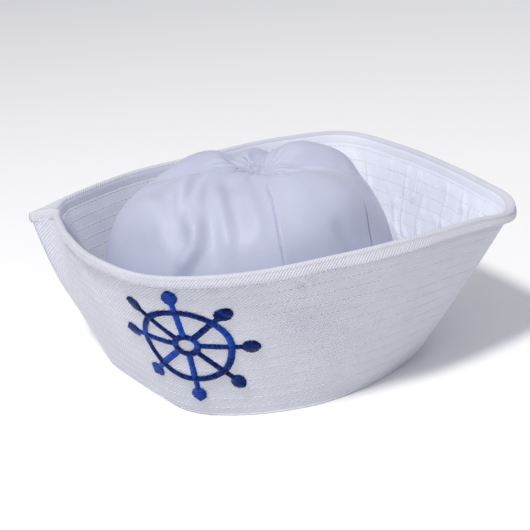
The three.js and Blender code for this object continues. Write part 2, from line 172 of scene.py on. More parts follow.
def addPiece(name, points, faces, material, uv=None, backMaterial=None, backFaces=None):
    mesh = bpy.data.meshes.new(name)
    mesh.from_pydata((np.asarray(points) + capForm["boxMiddle"]).tolist(), [], [list(map(int, f)) for f in faces])
    mesh.materials.append(material)
    if backMaterial:
        mesh.materials.append(backMaterial)
        mesh.polygons.foreach_set("material_index", np.asarray(backFaces).astype(np.int32))
    mesh.shade_smooth()
    if uv is not None:
        mesh.uv_layers.new(name="clothRun").data.foreach_set("uv", np.asarray(uv, float).ravel())
    mesh.validate()
    return putInScene(name, mesh)


# Materials

def clothMaterial(name, look):
    # Woven white cotton: diagonal ribs show as fine lines, through their bumps and through painted shade that darkens
    # the colour in the valleys between them, and slightly uneven bleaching keeps the white from looking like paper
    material = bpy.data.materials.new(name)
    tree = emptyTree(material)
    uv = addNode(tree, "ShaderNodeUVMap", uv_map="clothRun")
    place = addNode(tree, "ShaderNodeTexCoord").outputs["Object"]
    slub = addNode(tree, "ShaderNodeTexNoise", {"Vector": uv, "Scale": 420.0, "Detail": 2.0})  # thick spots, 2.4 mm
    fibre = addNode(tree, "ShaderNodeTexNoise", {"Vector": uv, "Scale": 1500.0, "Detail": 3.0})  # loose fibres, 0.7 mm
    crease = addNode(tree, "ShaderNodeTexNoise", {"Vector": place, "Scale": look["creaseScale"], "Detail": 3.0,
                                                  "Roughness": 0.45})
    tone = addNode(tree, "ShaderNodeTexNoise", {"Vector": place, "Scale": 22.0, "Detail": 4.0})  # bleaching, 45 mm
    angle = math.radians(look["ribAngle"])
    across = (*(way(angle) * 2 * math.pi / look["ribPitch"] for way in (math.sin, math.cos)), 0)
    phase = addNode(tree, "ShaderNodeVectorMath", {0: uv, 1: across}, operation="DOT_PRODUCT").outputs["Value"]
    drift = addNode(tree, "ShaderNodeMath", {0: slub, 1: look["ribDrift"], 2: phase}, operation="MULTIPLY_ADD")
    wave = addNode(tree, "ShaderNodeMath", {0: drift}, operation="SINE")
    ribs = addNode(tree, "ShaderNodeMapRange", {"Value": wave, "From Min": -1.0, "From Max": 1.0})
    # painted shade: the cloth's colour is darkened in the valleys between the ribs
    valley = addNode(tree, "ShaderNodeMapRange", {"Value": ribs, "To Min": look["ribValleyPaintedShade"], "To Max": 1.0})
    toneShare = addNode(tree, "ShaderNodeMapRange", {"Value": tone, "From Min": 0.3, "From Max": 0.7})
    bleached = addNode(tree, "ShaderNodeMix", {"Factor": toneShare, "A": linearColour(look["dull"]),
                                               "B": linearColour(look["bright"])}, data_type="RGBA")
    colour = addNode(tree, "ShaderNodeVectorMath", {0: bleached.outputs["Result"], "Scale": valley},
                     operation="SCALE")
    relief = {}
    for height, depth in ((crease, look["creaseDepth"]), (ribs, look["ribDepth"]), (fibre, look["fibreDepth"])):
        relief = {"Normal": addNode(tree, "ShaderNodeBump", {"Height": height, "Distance": depth, **relief})}
    shader = addNode(tree, "ShaderNodeBsdfPrincipled", {
        "Base Color": colour, "Roughness": look["roughness"], "IOR": 1.5, "Sheen Weight": look["sheen"],
        "Sheen Roughness": look["sheenRoughness"], "Specular IOR Level": look["specular"], **relief})
    addNode(tree, "ShaderNodeOutputMaterial", {"Surface": shader})
    return material


def threadMaterial(name, look):
    # Spun thread: each stitch has its own depth of colour, made lighter by painted highlights on some stitches, and a
    # silky gloss along its round back
    material = bpy.data.materials.new(name)
    tree = emptyTree(material)
    threadToneAndHighlight = addNode(tree, "ShaderNodeAttribute", attribute_name="threadToneAndPaintedHighlight").outputs["Fac"]
    place = addNode(tree, "ShaderNodeTexCoord").outputs["Object"]
    patch = addNode(tree, "ShaderNodeTexNoise", {"Vector": place, "Scale": 700.0, "Detail": 2.0})  # patches, 1.4 mm
    both = addNode(tree, "ShaderNodeMath", {0: patch, 1: look["patchShare"], 2: threadToneAndHighlight}, operation="MULTIPLY_ADD")
    depth = addNode(tree, "ShaderNodeMapRange", {"Value": both, "From Min": 0.8, "From Max": 1.65})
    colour = addNode(tree, "ShaderNodeMix", {"Factor": depth, "A": linearColour(look["deep"]),
                                             "B": linearColour(look["light"])}, data_type="RGBA")
    ply = addNode(tree, "ShaderNodeTexNoise", {"Vector": place, "Scale": 2500.0, "Detail": 2.0})  # plies, 0.4 mm
    plyBump = addNode(tree, "ShaderNodeBump", {"Height": ply, "Distance": 0.00008})
    shader = addNode(tree, "ShaderNodeBsdfPrincipled", {
        "Base Color": colour.outputs["Result"], "Normal": plyBump, "Roughness": look["roughness"], "IOR": 1.5,
        "Specular Tint": linearColour(look["gloss"]), "Sheen Weight": look["sheen"]})
    addNode(tree, "ShaderNodeOutputMaterial", {"Surface": shader})
    return material


twillLook = {
    "ribPitch": 0.0017,  # real ribs are about 0.8 mm apart; drawn coarser so that they show
    "ribAngle": 36.0,
    "ribDrift": 1.2,  # how far the ribs wander, in radians of their wave
    "ribDepth": 0.00024,
    "fibreDepth": 0.00006,
    "creaseScale": 26.0,
    "creaseDepth": 0.0014,
    "dull": "#CDCFDB",
    "bright": "#D7D8E1",
    "ribValleyPaintedShade": 0.89,
    "roughness": 0.85,
    "sheen": 0.12,
    "sheenRoughness": 0.5,
    "specular": 0.25,
}
insidePaintedLightLook = {**twillLook, "ribDepth": 0.00002, "ribValleyPaintedShade": 0.985, "creaseDepth": 0.0006,
              "dull": "#E1E4EF", "bright": "#E8EAF3"}  # the back of a twill is smooth; its colour is a painted-lighter copy of the face's, standing in for the brighter light inside the brim
bindingLook = {**twillLook, "ribAngle": 52.0, "ribPitch": 0.0014, "ribDepth": 0.00022, "ribValleyPaintedShade": 0.88,
               "creaseScale": 60.0, "creaseDepth": 0.0004}
sateenLook = {
    **twillLook,
    "ribPitch": 0.0009,  # a sateen's floats are finer than a hair; drawn coarser so that they soften the gloss
    "ribAngle": 4.0,
    "ribDepth": 0.00003,
    "creaseScale": 34.0,
    "creaseDepth": 0.0007,
    "dull": "#B4B8CE",
    "bright": "#BEC2D6",
    "ribValleyPaintedShade": 0.98,
    "roughness": 0.5,
    "sheen": 0.2,
    "sheenRoughness": 0.4,
    "specular": 0.4,
}
# light: the lighter blue, for threads that are lighter by chance and for the painted highlights
blueLook = {"deep": "#040A3A", "light": "#1C50C2", "gloss": "#3E6CD8", "patchShare": 1.1, "roughness": 0.42,
            "sheen": 0.03}
whiteLook = {"deep": "#D6D8E2", "light": "#E6E8EF", "gloss": "#FFFFFF", "patchShare": 0.2, "roughness": 0.55,
             "sheen": 0.1}

bleachedTwill = clothMaterial("bleached_cotton_twill_woven", twillLook)
# painted light: the same twill in a lighter colour, for the inside of the brim
twillBackPaintedLight = clothMaterial("bleached_cotton_twill_reverse_side_painted_light", insidePaintedLightLook)
biasTwill = clothMaterial("bleached_cotton_twill_bias_cut", bindingLook)
whiteSateen = clothMaterial("white_polyester_sateen_woven", sateenLook)
blueThread = threadMaterial("blue_rayon_thread_embroidered", blueLook)
whiteThread = threadMaterial("white_cotton_thread_sewn", whiteLook)
print("materials made")


# Brim form, shared by the brim, its binding, its stitches and the wheel

closedSections = np.vstack([brimSections, brimSections[:1]])
rimRows = closedSections[:, 0:3] * (capForm["rimHalfLength"], capForm["rimHalfWidth"], capForm["brimHeight"])
footRows = np.pad(closedSections[:, 3:5] * (capForm["footHalfLength"], capForm["footHalfWidth"]), ((0, 0), (0, 1)))
footWay = np.pad(closedSections[:, 3:5], ((0, 0), (0, 1)))
bowRows = normalised(footWay) * closedSections[:, 5:6] * capForm["brimHeight"]


def brimFace(turn, up):  # turn from 0 to 1 round the cap, up from 0 at the foot to 1 at the rim
    turn, up = np.broadcast_arrays(np.asarray(turn, float), np.asarray(up, float))
    place, share = turn.ravel() % 1.0, up.ravel()[:, None]
    foot, rim, bow = (curveThrough(rows, place) for rows in (footRows, rimRows, bowRows))
    return (foot + (rim - foot) * share + bow * 4 * share * (1 - share)).reshape(turn.shape + (3,))


brimForm = {
    "stations": 660,
    "rows": 14,  # bands between the rows of stitches
    "outerSteps": 4,
    "innerSteps": 6,
    "cloth": 0.0024,
    "slant": 0.107,  # the wall's usual height along its slope
    "top": 0.0018,  # the wall ends this far below the rim, inside the binding
    "nib": 0.0046,  # how far the near wall is pressed toward the far one beside the pinched corner
    "nibRun": 0.013,  # where it is pressed most
    "nibFar": 0.15,  # how much of this the far wall takes
    "pinch": 0.0125,  # how far the inside of the pinched corner lies from its tip
    "pinchRun": 0.024,  # how far from the tip the inside begins to close up
    "puff": 0.00015,  # swell of the cloth between two rows of stitches
    "sway": 0.0011,  # slow unevenness of the stiffened cloth
    "tuck": 0.0014,  # how far the outer face draws in under the roll of the binding
    "tuckBelow": 0.0078,
    "tuckWidth": 0.0019,
    "quilt": 0.0012,  # height of the puckers on the inner face
}

fineTurns = np.linspace(0, 1, 6001)
fineRun = runOf(brimFace(fineTurns, 0.9))
rimLength = fineRun[-1]
crowding = 1 + 1.1 * span(fineTurns, 0.44, 0.05, 0.84, 0.08)  # stations are closer where the cloth puckers
crowdedRun = np.concatenate([[0], np.cumsum(np.diff(fineRun) * (crowding[1:] + crowding[:-1]) / 2)])
stationTurns = np.interp(np.arange(brimForm["stations"]) / brimForm["stations"] * crowdedRun[-1], crowdedRun,
                         fineTurns)


def runAt(turn):  # distance round the cap from the pinched corner, in metres
    return np.interp(turn % 1.0, fineTurns, fineRun)


def awayFromTip(run, reach):  # 0 at the pinched corner, growing to 1
    return 1 - bell(np.minimum(run, rimLength - run) / reach)


def slantAt(turn):
    return np.linalg.norm(brimFace(turn, 1.0) - brimFace(turn, 0.0), axis=-1)


# Puckers and dents seen on the outside, below the binding:
# turn, how far below the rim, half length, half width, depth, lean in degrees
outerDents = [
    (0.214, 0.0080, 0.0038, 0.0016, 0.0016, 35),
    (0.237, 0.0082, 0.0040, 0.0016, 0.0015, 40),
    (0.262, 0.0080, 0.0030, 0.0014, 0.0012, 30),
    (0.282, 0.0150, 0.0052, 0.0017, 0.0018, 38),
    (0.288, 0.0110, 0.0040, 0.0018, 0.0009, 30),
]


def seamBand(up):  # 0 on a row of stitches, 1 halfway between two rows
    return np.abs(np.sin(np.pi * up / (1 - brimForm["top"] / brimForm["slant"]) * brimForm["rows"]))


def outerLift(turn, up):
    run, drop = runAt(turn), (1 - up) * slantAt(turn)
    band = seamBand(up)
    lift = brimForm["puff"] * (0.5 + 0.5 * clothNoise(run, drop, 0.02, 0.03, 4, rimLength)) * band
    lift += brimForm["sway"] * clothNoise(run, drop, 0.055, 0.05, 1, rimLength)
    lift += 0.00016 * clothNoise(run + 0.4 * drop, drop, 0.011, 0.016, 2, rimLength) * band
    tucked = brimForm["tuck"] * span(turn, 0.27, 0.1, 0.6, 0.1)
    lift -= tucked * bell((drop - brimForm["tuckBelow"]) / brimForm["tuckWidth"])
    for dentTurn, below, length, width, depth, lean in outerDents:
        aside, down = run - runAt(np.array(dentTurn)), drop - below
        tilt = math.radians(lean)
        along = aside * math.sin(tilt) + down * math.cos(tilt)
        across = aside * math.cos(tilt) - down * math.sin(tilt)
        for share, shift in ((-1, 0), (0.5, 1.6)):  # the dent, and the low ridge that it raises beside it
            lift += share * depth * np.exp(-((along / length) ** 2) - ((across - shift * width) / width) ** 2)
    return lift * smooth(up * 14) * smooth((1 - up) * 30)


def nibPress(turn, up):  # the near wall lies against the far one beside the pinched corner, near the rim
    run = runAt(turn)
    away = np.minimum(run, rimLength - run)
    share = np.where(run < rimLength / 2, brimForm["nib"], brimForm["nib"] * brimForm["nibFar"])
    rise = np.clip(away / brimForm["nibRun"], 0, None)
    pressed = np.where(rise < 1, smooth(rise), smooth(1 - (rise - 1) / 1.7))
    return -share * pressed * smooth((up - 0.35) / 0.55)


def innerLift(turn, up):  # positive into the cap
    run, drop = runAt(turn), (1 - up) * slantAt(turn)
    band = seamBand(up)
    quilted = 0.22 + 0.78 * span(turn, 0.45, 0.06, 0.84, 0.14)
    lean = 0.30 + 0.25 * clothNoise(run, drop, 0.05, 0.04, 11, rimLength)
    streak = clothNoise(run + lean * drop, drop + 0.15 * run, 0.0055, 0.024, 7, rimLength)
    broken = smooth(clothNoise(run + 0.6 * drop, drop, 0.012, 0.014, 8, rimLength) * 1.3 + 0.85)
    crease = bell(streak / 0.24) * broken  # thin slanted creases where the streaks change sides
    broad = clothNoise(run - 0.2 * drop, drop + 0.3 * run, 0.017, 0.024, 9, rimLength)
    lift = brimForm["quilt"] * quilted * (crease * (0.8 + 0.2 * band) + 0.35 * streak + 0.5 * broad)
    lift += 0.3 * brimForm["puff"] * band
    return lift * smooth(up * 14) * smooth((0.93 - up) * 11)


def movedRing(ring, across):  # the ring moved level, outward when positive, square to its own run
    before, after = (normalised(np.stack([step[:, 1], -step[:, 0]], 1))
                     for step in (ring - np.roll(ring, 1, 0), np.roll(ring, -1, 0) - ring))
    outward = normalised(before + after)
    outward /= np.maximum((outward * before).sum(1), 0.5)[:, None]
    moved = ring.copy()
    moved[:, :2] += outward * np.broadcast_to(across, (len(ring),))[:, None]
    return moved


def besideRing(ring, across, level):  # as before, and inside the cloth it closes up at the pinched corner
    moved = movedRing(ring, across)
    depth = float(-np.min(across))
    if depth <= 0:
        return moved
    after = np.roll(ring, -1, 0) - ring
    step = np.linalg.norm(after[:, :2], axis=1)
    run = np.concatenate([[0], np.cumsum(step[:-1])])
    fromTip = np.minimum(run, run[-1] + step[-1] - run)
    tip = ring[0, :2]
    reach = brimForm["pinchRun"]
    near, far = int(np.searchsorted(run, reach)), int(np.searchsorted(run, run[-1] + step[-1] - reach)) - 1
    inward = moved[near, :2] + moved[far, :2] - 2 * tip
    inward /= np.linalg.norm(inward)
    apex = tip + inward * (depth * 1.3 + brimForm["pinch"] * smooth(level * 1.1))
    closed = moved.copy()
    for end, pick in ((near, np.arange(0, near + 1)), (far, np.arange(far, len(ring)))):
        target = moved[end, :2]
        slope = (moved[end + 2, :2] - moved[end - 2, :2]) * (1 if end == near else -1)
        slope *= np.linalg.norm(target - apex) / np.linalg.norm(slope)
        share = np.clip(fromTip[pick] / fromTip[end], 0, 1)[:, None]
        start = inward * np.linalg.norm(target - apex) * 0.55
        closed[pick, :2] = ((2 * share**3 - 3 * share**2 + 1) * apex + (share**3 - 2 * share**2 + share) * start
                            + (3 * share**2 - 2 * share**3) * target + (share**3 - share**2) * slope)
    blend = smooth(depth / 0.002)
    moved[:, :2] = moved[:, :2] * (1 - blend) + closed[:, :2] * blend
    return moved


def uvOf(faces, along, across, length):  # u runs round the cap and doesn't jump back at the corner
    u, v = along[faces], across[faces]
    u = np.where(u.max(1, keepdims=True) - u > length / 2, u + length, u)
    return np.stack([u, v], -1).reshape(-1, 2)


def pressedRing(turns, up):
    ring = brimFace(turns, up)
    return movedRing(ring, nibPress(turns, up))


def makeBrim():
    stations, cloth = brimForm["stations"], brimForm["cloth"]
    slant, run = slantAt(stationTurns), runAt(stationTurns)
    highest = 1 - brimForm["top"] / slant
    tipHold = awayFromTip(run, 0.02)
    outer, inner, down = [], [], []
    outerRows, innerRows = (brimForm["rows"] * brimForm[k] for k in ("outerSteps", "innerSteps"))
    for k in range(1, outerRows + 1):
        up = highest * k / outerRows
        outer.append(movedRing(pressedRing(stationTurns, up), outerLift(stationTurns, up)))
        down.append(slant * (1 - k / outerRows))
    for k in range(innerRows, 0, -1):
        up = highest * k / innerRows
        ring = pressedRing(stationTurns, up)
        face, deeper = (besideRing(ring, -cloth - more, k / innerRows) for more in (0, 0.001))
        inner.append(face + (deeper - face) * (innerLift(stationTurns, up) * tipHold * 1000)[:, None])
        down.append(0.2 + slant * (1 - k / innerRows))
    foot = brimFace(stationTurns, np.zeros(stations))
    sole = []
    for across, rise in ((-2.2, 0.35), (-1.7, 0.06), (-1.2, 0.0), (-0.7, 0.06), (-0.2, 0.35)):
        ring = besideRing(foot, across / 1000, 0.0)
        ring[:, 2] = rise / 1000
        sole.append(ring)
        down.append(slant * 1.01)
    rows = np.array(outer + inner + sole)
    faces = loopFaces(len(rows), stations, closed=True)
    uv = uvOf(faces, np.tile(run, len(rows)), np.array(down).ravel(), rimLength)
    # painted light: the inner faces take the lighter copy of the twill
    isBack = np.repeat(np.arange(len(rows)) >= outerRows, stations)
    piece = addPiece("Brim", rows.reshape(-1, 3), faces, bleachedTwill, uv, twillBackPaintedLight, isBack)
    return piece, np.array(outer), np.array(inner[::-1])


brim, outerGrid, innerGrid = makeBrim()
print("brim made", len(brim.data.polygons))


# Binding: a folded tape over the rim

bindingForm = {
    "depth": 0.0072,
    "roll": 0.0022,  # the part of the depth that the turn over the rim takes
    "outside": 0.0011,  # from the brim's outer face to the tape's, and more toward the soft corner
    "outsideMore": 0.0013,
    "outsideAtTip": 0.0006,  # the same at the pinched corner
    "inside": 0.0006,  # the tape lies flat on the inner face
    "cloth": 0.0005,
    "swell": 0.0006,
    "standOff": 0.0036,  # how far the lower edge stands off the wall toward the soft corner
    "ripple": 0.0003,
}


def makeBinding():
    form = bindingForm
    depth, roll = form["depth"], form["roll"]
    slant, run = slantAt(stationTurns), runAt(stationTurns)
    wallIn = brimForm["cloth"]
    rightward = span(stationTurns, 0.16, 0.24, 0.62, 0.1)
    fromTip, tip = awayFromTip(run, 0.022), form["outsideAtTip"]
    outside = tip + (form["outside"] - tip) * fromTip + form["outsideMore"] * rightward
    inside = -wallIn - form["inside"]
    half = (outside - inside) / 2
    section = []  # across, down, share of the stand-off, skin or lining
    for share in np.linspace(0, 1, 10):
        swell = form["swell"] * math.sin(math.pi * share ** 0.8)
        hold = fromTip + (1 - fromTip) * min(max(share * 2.5, 0.35), 1)
        section.append((outside * hold + swell * (0.1 + 0.9 * fromTip), depth * (1 - share) + roll * share,
                        (1 - share) ** 1.4, 1))
    for angle in np.linspace(0, math.pi, 13)[1:-1]:
        section.append((outside - half + half * math.cos(angle), roll * (1 - math.sin(angle)), 0, 1))
    skinOutside = len(section)
    for share in (0, 0.16, 0.32, 0.5, 0.68, 0.84, 0.975, 1.0):  # the last step is short, so that the edge stays crisp
        thin = form["inside"] * 0.8 * smooth((share - 0.2) / 0.8)
        section.append((inside + thin + 0 * run, roll * (1 - share) + depth * share, 0, 1))
    for across, down, off in ((-wallIn - 0.00005, depth, 0), (-wallIn - 0.00005, 0.004, 0),
                              (-wallIn - 0.00005, 0.0016, 0), (-wallIn / 2, 0.0012, 0), (0.0001, 0.0016, 0),
                              (None, 0.004, 0.3), (None, depth - 0.0001, 1)):
        section.append((outside - form["cloth"] if across is None else across + 0 * run, down, off, 0))
    ripple = form["ripple"] * clothNoise(run, run * 0, 0.0065, 1, 21, rimLength)
    edge = clothNoise(run, run * 0, 0.024, 1, 23, rimLength) * (0.0003 + 0.0005 * rightward)
    rows, tapeRun, ends = [], [], None
    for across, down, off, skin in section:
        low = smooth((down - 0.0025) / 0.004)
        up = 1 - (down + edge * low) / slant
        pucker = clothNoise(run - down * 1.2, np.full_like(run, down), 0.007, 0.004, 25, rimLength)
        push = off * (form["standOff"] * rightward * (1 + 0.3 * edge / 0.0008) + 0.0001)
        push = push + skin * (ripple * low + 0.00016 * pucker)
        free = across[0] >= -wallIn / 2  # the inner face keeps flat
        rows.append(besideRing(pressedRing(stationTurns, up), across + push * free, 1.0))
        here = (float(np.mean(across)), down)
        tapeRun.append(tapeRun[-1] - math.hypot(here[0] - ends[0], here[1] - ends[1]) if ends else 0.02)
        ends = here
    faces = loopFaces(len(rows), len(run), closed=True)
    along, across = (np.broadcast_to(values, (len(rows), len(run))).ravel()
                     for values in (run, np.array(tapeRun)[:, None]))
    # painted light: the lining's faces take the lighter copy of the twill
    isBack = np.repeat(np.arange(len(rows)) >= skinOutside, len(run))
    return addPiece("RimBinding", np.reshape(rows, (-1, 3)), faces, biasTwill, uvOf(faces, along, across, rimLength),
                    twillBackPaintedLight, isBack)


binding = makeBinding()
print("binding made", len(binding.data.polygons))


# Crown

crownRings = np.array([  # spread, rise, round, from the hem to the gather
    (1.0, 0.0, 0.0), (0.99, 0.1, 0.3), (0.97, 0.26, 0.7), (0.945, 0.44, 1.0), (0.91, 0.6, 1.0), (0.87, 0.72, 1.0),
    (0.81, 0.82, 1.0), (0.72, 0.9, 1.0), (0.6, 0.96, 1.0), (0.46, 0.995, 1.0), (0.32, 1.01, 1.0), (0.19, 1.01, 1.0),
    (0.08, 1.0, 1.0), (0.0, 0.99, 1.0),
])

# Broad folds and puffs, as in the part's source: turn low and high in degrees, half width in degrees,
# depth as a share of the fold depth, and the ways up between which it runs
crownFolds = [
    (42, 42, 40, 0.85, 0.4, 0.93),
    (136, 132, 36, 0.7, 0.45, 0.92),
    (92, 92, 16, 0.35, 0.55, 0.9),
    (26, 18, 13, -0.6, 0.46, 0.9),
    (-22, -28, 34, 0.45, 0.36, 0.88),
    (-118, -135, 44, 0.6, 0.42, 0.92),
    (172, 168, 15, -0.35, 0.55, 0.9),
    (76, 70, 10, -0.3, 0.3, 0.85),
    (108, 112, 10, -0.3, 0.3, 0.85),
]

crownForm = {
    "stations": 460,
    "rings": 130,
    "cloth": 0.0014,
    "inset": 0.0027,  # from the brim's outer face to the crown's hem: the brim's cloth and the seam
    "foldDepth": 0.010,
    "gatherAlong": 0.011,
    "gatherAcross": 0.008,
    "pleats": 23,
    "pleatDepth": 0.0002,
    "wrinkle": 0.0006,
    "slotAt": -0.0002,  # the slot of a pleat and the cloth that laps over it, from the pleat's path
    "slotWidth": 0.0005,
    "lapAt": 0.0007,
    "lapWidth": 0.0009,
    "pathFade": 0.28,  # share of a path over which its fold grows, and dies away again
    "clothRound": 0.57,  # the cloth's run round the hem and up to the gather, for its weave
    "clothUp": 0.19,
}

# Soft ridges and valleys: path of (turn in degrees, way up), half width and height
crownBends = [
    ("lobe crest", [(166, 0.70), (166, 0.77), (178, 0.83), (221, 0.87), (268, 0.81), (278, 0.70)], 0.010, 0.0028),
    ("left band valley", [(176, 0.62), (215, 0.63), (240, 0.58), (250, 0.49), (253, 0.42)], 0.0085, -0.0033),
    ("left tube", [(194, 0.75), (232, 0.67), (246, 0.59), (256, 0.53)], 0.006, 0.0017),
    ("bright bend", [(252, 0.58), (259, 0.52), (260, 0.46), (256, 0.40), (253, 0.33)], 0.0060, 0.0036),
    ("left dark bend", [(196, 0.80), (228, 0.73), (244, 0.65), (249, 0.57), (247, 0.50)], 0.0045, -0.0018),
    ("near valley", [(238, 0.77), (256, 0.68), (266, 0.59), (270, 0.48), (270, 0.34)], 0.006, -0.0017),
    ("near crest", [(256, 0.75), (268, 0.64), (275, 0.52), (277, 0.36)], 0.006, 0.0016),
    ("lobe valley", [(266, 0.82), (277, 0.70), (282, 0.60), (286, 0.45)], 0.008, -0.0026),
    ("soft crest", [(286, 0.72), (290, 0.60), (293, 0.44)], 0.008, 0.0010),
    ("right dent", [(-27, 0.26), (-29, 0.38), (-33, 0.50)], 0.006, -0.0014),
    ("side mark", [(9, 0.50), (3, 0.45), (-2, 0.42)], 0.0022, -0.0012),
    ("puff valley", [(322, 0.80), (338, 0.80), (355, 0.75), (368, 0.67)], 0.007, -0.0022),
    ("gather fold one", [(60, 0.96), (78, 0.86), (84, 0.78)], 0.006, -0.0008),
    ("gather fold two", [(130, 0.95), (122, 0.87), (116, 0.79)], 0.006, -0.0008),
    ("gather fold three", [(-20, 0.94), (-12, 0.84), (-4, 0.76)], 0.006, -0.0008),
]

# Pleats: the cloth to the right of the path lies over the cloth to its left
crownPleats = [
    {"name": "near pleat", "path": [(301, 0.24), (301, 0.40), (302, 0.50), (305, 0.60), (309, 0.69), (315, 0.76)],
     "height": 0.0012, "lap": 0.0005, "fade": 0.011, "slot": 0.0018},
    {"name": "right pleat", "path": [(341, 0.24), (343, 0.35), (347, 0.45), (357, 0.54), (366, 0.60)],
     "height": -0.0012, "lap": -0.0005, "fade": 0.009, "slot": 0.0018},
]


def foldLift(fold, degrees, way):
    turnLow, turnHigh, width, depth, start, end = fold
    turn = turnLow + (turnHigh - turnLow) * way
    aside = np.abs((degrees - turn + 540) % 360 - 180) / width
    ends = np.minimum(smooth((way - start) / ((end - start) * 0.35)), smooth((end - way) / ((end - start) * 0.35)))
    return np.where(aside < 1, depth * crownForm["foldDepth"] * ends * np.cos(np.minimum(aside, 1) * np.pi / 2) ** 2, 0)


def crownBase(degrees, way):  # the smooth crown; both are grids, degrees being the direction at the hem
    hem = movedRing(brimFace(stationTurns, 0 * stationTurns), -crownForm["inset"])
    hemDegrees, hemRadius = np.degrees(np.arctan2(hem[:, 1], hem[:, 0])), np.hypot(hem[:, 0], hem[:, 1])
    radius = np.interp(degrees, hemDegrees, hemRadius, period=360)
    rows = curveThrough(crownRings, way.ravel()).reshape(way.shape + (3,))
    spread, rise, roundness = rows[..., 0], rows[..., 1], rows[..., 2]
    cosine, sine = np.cos(np.radians(degrees)), np.sin(np.radians(degrees))
    x = radius * cosine * (1 - roundness) + (capForm["footHalfLength"] - crownForm["inset"]) * cosine * roundness
    y = radius * sine * (1 - roundness) + (capForm["footHalfWidth"] - crownForm["inset"]) * sine * roundness
    shift = smooth(1 - spread)
    return np.stack([x * spread + crownForm["gatherAlong"] * shift, y * spread + crownForm["gatherAcross"] * shift,
                     rise * capForm["crownHeight"]], -1)


def pathOn(points, degrees, ways, path):  # the path as 80 points on the crown's grid
    knots = np.array(path, float)
    at = np.linspace(0, len(knots) - 1, 80)
    first = np.minimum(at.astype(int), len(knots) - 2)
    curve = curveThrough(np.column_stack([knots, 0 * knots[:, 0]]) * (0.01, 1, 1), at / (len(knots) - 1))
    line = []
    for turn, way in curve[:, :2] * (100, 1):
        row = min(max(int(np.searchsorted(ways, way)), 1), len(ways) - 1)
        share = (way - ways[row - 1]) / (ways[row] - ways[row - 1])
        below, above = ([np.interp(turn, degrees[r], points[r, :, c], period=360) for c in range(3)]
                        for r in (row - 1, row))
        line.append(np.array(below) * (1 - share) + np.array(above) * share)
    line = np.array(line)
    for _ in range(4):
        line[1:-1] = (line[:-2] + line[1:-1] * 2 + line[2:]) / 4
    return line


def besidePath(flat, normals, line, reach):  # points near the line, their signed distance to its right, and ends
    near = np.flatnonzero(np.linalg.norm(flat - line.mean(0), axis=1)
                          < np.linalg.norm(line - line.mean(0), axis=1).max() + reach)
    gap = flat[near][:, None, :] - line[None]
    nearest = np.linalg.norm(gap, axis=2).argmin(1)
    gap = gap[np.arange(len(near)), nearest]
    right = normalised(np.cross(normalised(np.gradient(line, axis=0))[nearest], normals[near]))
    ends = span(nearest / (len(line) - 1), 0, crownForm["pathFade"], 1, crownForm["pathFade"])
    return near, (gap * right).sum(1), np.linalg.norm(gap, axis=1), ends, right


def crowdedStations(ways):  # directions at the hem for each way up, closer together along the pleats
    fineDegrees = np.linspace(150, 510, 3601)  # the seam of the grid lies away from the pleats
    share = np.arange(crownForm["stations"]) / crownForm["stations"]
    rows = []
    for way in ways:
        density = np.ones_like(fineDegrees)
        for pleat in crownPleats:
            turns, ups = np.array(pleat["path"], float).T
            aside = (fineDegrees - np.interp(way, ups, turns) + 540) % 360 - 180
            density += 4.5 * bell(aside / 2.2) + 1.2 * bell(aside / 9)
        total = np.concatenate([[0], np.cumsum((density[1:] + density[:-1]) / 2)])
        rows.append(np.interp(share * total[-1], total, fineDegrees))
    return np.array(rows)


def gathered(points, degrees, around, way):  # the broad folds, the fine gathers at the top and small wrinkles
    form = crownForm
    lift = sum(foldLift(fold, degrees, way) for fold in crownFolds)
    waves = 2 * np.pi * around * form["pleats"] + 2.2 * clothNoise(around, way, 1 / 7, 0.3, 35)
    lift = lift + form["pleatDepth"] * span(way, 0.74, 0.12, 0.96, 0.08) * np.cos(waves)
    lift += form["wrinkle"] * clothNoise(around, way, 1 / 20, 0.18, 31) * smooth(way * 3)
    fine = clothNoise(around + 0.1 * way, way, 1 / 46, 0.3, 33) * smooth((way - 0.5) / 0.4)
    lift += form["wrinkle"] * 1.3 * fine * smooth((0.98 - way) / 0.1)
    return points + gridNormals(points) * lift[:, :, None]


def bent(points, degrees, ways):  # with the soft ridges and valleys
    flat, normals = points.reshape(-1, 3), gridNormals(points).reshape(-1, 3)
    raised = np.zeros(len(flat))
    for _, path, width, height in crownBends:
        near, _, distance, ends, _ = besidePath(flat, normals, pathOn(points, degrees, ways, path), width * 1.5)
        aside = np.minimum(distance / width / 1.35, 1)
        raised[near] += height * ends * np.cos(aside * np.pi / 2) ** 2
    return (flat + normals * raised[:, None]).reshape(points.shape)


def pleated(points, degrees, ways):  # with the two pleats: raised on one side, and lapped over a narrow slot
    form = crownForm
    flat, normals = points.reshape(-1, 3), gridNormals(points).reshape(-1, 3)
    moved = flat.copy()
    for pleat in crownPleats:
        line = pathOn(points, degrees, ways, pleat["path"])
        near, beside, _, ends, right = besidePath(flat, normals, line, 0.03)
        over = np.where(beside > 0, np.exp(-beside / pleat["fade"]), 0) * smooth((beside + 0.0004) / 0.0008)
        rise = pleat["height"] * over - pleat["slot"] * bell((beside - form["slotAt"]) / form["slotWidth"])
        lap = pleat["lap"] * bell((beside - form["lapAt"]) / form["lapWidth"])
        moved[near] += (normals[near] * rise[:, None] - right * lap[:, None]) * ends[:, None]
    return moved.reshape(points.shape)


